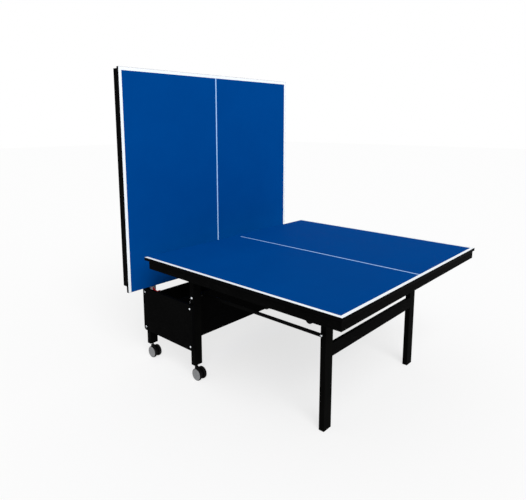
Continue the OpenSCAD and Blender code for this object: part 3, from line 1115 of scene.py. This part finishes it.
@dataclass
class Trolley:
    """The trolley: posts, panels, cleats, screws, link bolts and latch brackets.

    Attributes:
        post_edge: Rounding of the posts' edges.
        panel_edge: Rounding of the end panels' and the cleats' edges.
        bracket_edge: Rounding of the brackets' edges.
        screw_edge: Distance from the end panels' upper and lower edges to the screws.
        screw_head: Diameter of the screws' heads.
        screw_crown: Height of the screws' heads.
    """

    post_edge: float = 1.8 * MM
    panel_edge: float = 1.0 * MM
    bracket_edge: float = 0.5 * MM
    screw_edge: float = 24 * MM
    screw_head: float = 13 * MM
    screw_crown: float = 2.6 * MM

    def build(self) -> None:
        """Builds every piece of the trolley."""
        for side in Side:
            for edge in Edge:
                node = f"{side.value}_{edge.value}_post"
                board_from(node, (PAINTED_TIMBER,), edge=self.post_edge)
        for name in ("near_end_panel", "far_end_panel"):
            board_from(name, (BLACK_BOARD, EDGE_BAND), paint=rim_band(1), edge=self.panel_edge)
        for name in ("right_cross_panel", "left_cross_panel"):
            board_from(name, (BLACK_BOARD, EDGE_BAND), paint=rim_band(0))
        board_from("corner_cleats", (PAINTED_TIMBER,), edge=self.panel_edge)
        board_from("latch_brackets", (GREY_STEEL,), edge=self.bracket_edge)
        self.panel_screws()
        self.link_bolts()

    def panel_screws(self) -> None:
        """Sets the screws that hold the end panels to the posts."""
        screws = ScrewSet(self.screw_head, self.screw_crown)
        for edge in Edge:
            low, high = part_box(f"{edge.value}_end_panel")
            face = low.y if edge is Edge.NEAR else high.y
            for side in Side:
                x = pivot(f"{side.value}_fold").x
                for z in (low.z + self.screw_edge, high.z - self.screw_edge):
                    seat = Vector((x, face, z))
                    screws.places.append((seat, Vector((0, -edge.inwards, 0))))
        fit(in_scene("panel_screws_made", screws.mesh()), "panel_screws")

    def link_bolts(self) -> None:
        """Builds the bolts that the link bars turn on."""
        shape = bmesh.new()
        for side in Side:
            joint = pivot(f"{side.value}_link_hinge")
            for edge in Edge:
                gap = edge.inwards * PLAY
                post, link = span(edge, "post"), span(edge, "link")
                spacer = (post[1], link[0] - gap)
                BoltStack(shape, edge, joint, post[0], link[1] + gap, spacer).make()
        outwards(shape)
        piece_of("link_bolts", shape, (ZINC, NYLON))


@dataclass
class LatchLever:
    """One red latch lever.

    Attributes:
        side: The side of the trolley that it is on.
        edge: Width of the rounding along its edges.
    """

    side: Side
    edge: float = 1.6 * MM

    def build(self) -> None:
        """Builds the lever."""
        board_from(f"{self.side.value}_latch_lever", (RED_PLASTIC,), edge=self.edge)


# A wheel's profile in mm, as radius and height, from the middle of its disc over the tread
# to the bore behind it
WHEEL_PROFILE = (
    (0, 17.6), (6.6, 17.6), (7.4, 17.2), (7.8, 16.5), (8.4, 16.4), (20.0, 16.9), (31.0, 17.7),
    (33.6, 18.0), (34.3, 17.7), (34.5, 17.1), (34.9, 17.0), (35.3, 17.4), (36.2, 16.6),
    (37.1, 15.3), (37.5, 13.6), (37.5, 4.4), (37.1, 2.6), (36.2, 1.2), (35.0, 0.3), (33.6, 0),
    (31.9, 0), (31.5, 0.4), (31.3, 13.4), (30.7, 14.0), (9.8, 14.0), (9.2, 13.4), (9.0, 0.4),
    (8.6, 0), (4.6, 0), (4.05, 0.6), (4.05, 14.05), (0, 14.05),
)


@dataclass
class Castor:
    """One castor with a fork between its twin wheels.

    Attributes:
        side: The half of the trolley that it is under.
        edge: The edge of the table that it is near.
        fork_edge: Rounding of the fork's edges.
        axle_edge: Rounding of the axle's edges.
        steps: How many sides each wheel has.
        disc_rings: How many rings of the profile are its disc.
        ribs: How many ribs each wheel has behind its disc.
        rib_middle: Distance from the axle to the middle of a rib.
        rib_length: Length of the ribs, from the hub to the tread.
        rib_thickness: Thickness of the ribs.
        rib_depth: Depth of the ribs, along the axle.
        rib_back: How far the ribs lie inside the wheel's open side.
    """

    side: Side
    edge: Edge
    fork_edge: float = 1.2 * MM
    axle_edge: float = 0.4 * MM
    steps: int = 72
    disc_rings: int = 9
    ribs: int = 6
    rib_middle: float = 20.2 * MM
    rib_length: float = 22.6 * MM
    rib_thickness: float = 2.0 * MM
    rib_depth: float = 12.6 * MM
    rib_back: float = 1.6 * MM

    @property
    def word(self) -> str:
        """The first part of the castor's names."""
        return f"{self.side.value}_{self.edge.value}"

    def build(self) -> None:
        """Builds the fork, the axle and both wheels."""
        board_from(f"{self.word}_fork", (NYLON,), edge=self.fork_edge)
        board_from(f"{self.word}_axle", (ZINC,), edge=self.axle_edge)
        self.wheel("outer", -self.edge.inwards)
        self.wheel("inner", self.edge.inwards)

    def wheel(self, name: str, face: int) -> None:
        """Builds one wheel.

        Args:
            name: Whether it is the outer or the inner wheel.
            face: The way that its disc looks, along y.
        """
        node = f"{self.word}_{name}_wheel"
        low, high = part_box(node)
        middle = (low + high) / 2
        back = low.y if face > 0 else high.y
        place = towards((0, face, 0), (middle.x, back, middle.z))
        rings = [Ring(radius * MM, height * MM) for radius, height in WHEEL_PROFILE]
        shape = bmesh.new()
        turned(shape, rings, place, self.steps, lambda ring: int(ring >= self.disc_rings))
        outwards(shape)
        ribs = self.rib_mesh(place)
        shape.from_mesh(ribs)
        bpy.data.meshes.remove(ribs)
        piece_of(node, shape, (GREY_DISC if name == "outer" else NYLON, TREAD))

    def rib_mesh(self, place: Matrix) -> Mesh:
        """Makes the ribs behind a wheel's disc with geometry nodes.

        Args:
            place: The wheel's place.

        Returns:
            The ribs' mesh, in its place.
        """
        values = {
            "Count": self.ribs,
            "Middle radius": self.rib_middle,
            "Length": self.rib_length,
            "Thickness": self.rib_thickness,
            "Depth": self.rib_depth,
            "Back": self.rib_back,
            "Finish": TREAD.build(),
        }
        made = run_tree(self.rib_tree(), bpy.data.meshes.new("wheel centre"), values)
        made.transform(place)
        for face in made.polygons:
            face.material_index = 1
        return made

    @staticmethod
    @cache
    def rib_tree() -> NodeTree:
        """Builds, once, the tree that sets flat ribs round an axis, like spokes.

        Returns:
            The tree.
        """
        sizes = ("Middle radius", "Length", "Thickness", "Depth", "Back")
        inputs = {"Count": "Int", **dict.fromkeys(sizes, "Float"), "Finish": "Material"}
        tree = new_tree("wheel ribs", inputs)
        given = add(tree, "NodeGroupInput").outputs
        ring = {"Vertices": given["Count"], "Radius": given["Middle radius"]}
        circle = add(tree, "GeometryNodeMeshCircle", ring)
        depth = given["Depth"]
        sides = {"X": given["Length"], "Y": given["Thickness"], "Z": depth}
        size = add(tree, "ShaderNodeCombineXYZ", sides)
        rib = add(tree, "GeometryNodeMeshCube", {"Size": size})
        half = add(tree, "ShaderNodeMath", {0: depth, 1: 0.5}, operation="MULTIPLY")
        rise = add(tree, "ShaderNodeMath", {0: half, 1: given["Back"]})
        shift = add(tree, "ShaderNodeCombineXYZ", {"Z": rise})
        lifted = add(tree, "GeometryNodeTransform", {"Geometry": rib, "Translation": shift})
        where = add(tree, "GeometryNodeInputPosition")
        aim = add(tree, "FunctionNodeAlignRotationToVector", {"Vector": where}, axis="X")
        spread = {"Points": circle, "Instance": lifted, "Rotation": aim}
        placed = add(tree, "GeometryNodeInstanceOnPoints", spread)
        whole = add(tree, "GeometryNodeRealizeInstances", {"Geometry": placed})
        finish = {"Geometry": whole, "Material": given["Finish"]}
        result = add(tree, "GeometryNodeSetMaterial", finish)
        add(tree, "NodeGroupOutput", {"Geometry": result})
        return tree


# ---- Studio ----


@dataclass(frozen=True)
class Studio:
    """The camera, the lights, the world and the floor.

    Attributes:
        place: The camera's place.
        azimuth: The camera's angle round the table, in degrees; nought looks along +y.
        elevation: The camera's angle above the horizon, in degrees.
        lens: The camera's focal length.
        sensor: Width of the camera's sensor.
        shift: The camera's shift, as shares of the sensor's width.
        reach: The nearest and the furthest distance that the camera shows.
        sky: Strength of the even light from all round.
        key_from: The direction that the lamp shines from.
        key_power: The lamp's power.
        key_spread: The angle that the lamp fills, in degrees.
        floor_size: Half the floor's width.
        floor_glow: Share of the floor that shows plain white, which keeps its shadow pale.
    """

    place: tuple[float, float, float] = (1.82858, -2.37476, 1.53966)
    azimuth: float = 41.91
    elevation: float = 9.4526
    lens: float = 33.531
    sensor: float = 36.0
    shift: tuple[float, float] = (0.0005, -0.0866)
    reach: tuple[float, float] = (0.05, 100)
    sky: float = 0.5
    key_from: tuple[float, float, float] = (0.62, -0.42, 0.66)
    key_power: float = 2.25
    key_spread: float = 40.0
    floor_size: float = 30.0
    floor_glow: float = 0.7

    def camera(self) -> None:
        """Makes the camera that frames the table."""
        around, above = math.radians(self.azimuth), math.radians(self.elevation)
        level, rise = math.cos(above), math.sin(above)
        back = Vector((math.sin(around) * level, -math.cos(around) * level, rise))
        data = bpy.data.cameras.new("camera")
        data.lens = self.lens
        data.sensor_width = self.sensor
        data.shift_x, data.shift_y = self.shift
        data.clip_start, data.clip_end = self.reach
        camera = in_scene("camera", data)
        camera.location = self.place
        camera.rotation_mode = "QUATERNION"
        camera.rotation_quaternion = (-back).to_track_quat("-Z", "Y")
        bpy.context.scene.camera = camera

    def world(self) -> None:
        """Lights the table evenly from all round, against a white background."""
        world = bpy.data.worlds.new("studio")
        bpy.context.scene.world = world
        world.use_nodes = True
        tree = world.node_tree
        levels = {"Value": self.background_rays(tree), "To Min": self.sky, "To Max": 1.0}
        strength = add(tree, "ShaderNodeMapRange", levels)
        feed(tree, tree.nodes["Background"], {"Color": (1, 1, 1, 1), "Strength": strength})

    def background_rays(self, tree: NodeTree) -> Node:
        """Adds a value of one for the rays that show the background, in a picture or a metal.

        Args:
            tree: The material's or the world's tree.

        Returns:
            The node that gives the value.
        """
        ray = add(tree, "ShaderNodeLightPath").outputs
        rays = {0: ray["Is Glossy Ray"], 1: ray["Is Transmission Ray"]}
        mirrored = add(tree, "ShaderNodeMath", rays, operation="MAXIMUM")
        rays = {0: ray["Is Camera Ray"], 1: mirrored}
        return add(tree, "ShaderNodeMath", rays, operation="MAXIMUM")

    def key(self) -> None:
        """Makes the one soft lamp, far off and over the camera's shoulder."""
        data = bpy.data.lights.new("key", "SUN")
        data.energy = self.key_power
        data.angle = math.radians(self.key_spread)
        lamp = in_scene("key", data)
        lamp.rotation_mode = "QUATERNION"
        lamp.rotation_quaternion = Vector(self.key_from).to_track_quat("Z", "Y")

    def floor(self) -> None:
        """Makes the white floor, which keeps the table's soft shadow."""
        shape = bmesh.new()
        bmesh.ops.create_grid(shape, x_segments=1, y_segments=1, size=self.floor_size)
        mesh = mesh_of("floor", shape)
        # Floor: matt white, of which a share glows where the camera sees it
        material = bpy.data.materials.new("white floor")
        material.use_nodes = True
        tree = material.node_tree
        shader = tree.nodes["Principled BSDF"]
        matt = {"Base Color": linear("fafafa"), "Roughness": 0.9, "Specular IOR Level": 0.0}
        feed(tree, shader, matt)
        glow = add(tree, "ShaderNodeEmission", {"Color": (1, 1, 1, 1), "Strength": 1.0})
        shares = {0: self.background_rays(tree), 1: self.floor_glow}
        share = add(tree, "ShaderNodeMath", shares, operation="MULTIPLY")
        mixed = add(tree, "ShaderNodeMixShader", {0: share, 1: shader, 2: glow})
        feed(tree, tree.nodes["Material Output"], {"Surface": mixed})
        mesh.materials.append(material)
        in_scene("floor", mesh)

    def light(self) -> None:
        """Makes the world, the lamp and the floor."""
        bpy.context.scene.view_settings.view_transform = "Standard"
        self.world()
        self.key()
        self.floor()


def main() -> None:
    """Builds the table and its studio."""
    studio = Studio()
    studio.camera()
    studio.light()
    for side in Side:
        TableHalf(side).build()
        LegFrame(side).build()
        LinkPair(side).build()
        LatchLever(side).build()
    Trolley().build()
    for side in Side:
        for edge in Edge:
            Castor(side, edge).build()


if __name__ == "__main__":
    logging.basicConfig(level=logging.INFO, format="%(name)s: %(message)s")
    main()
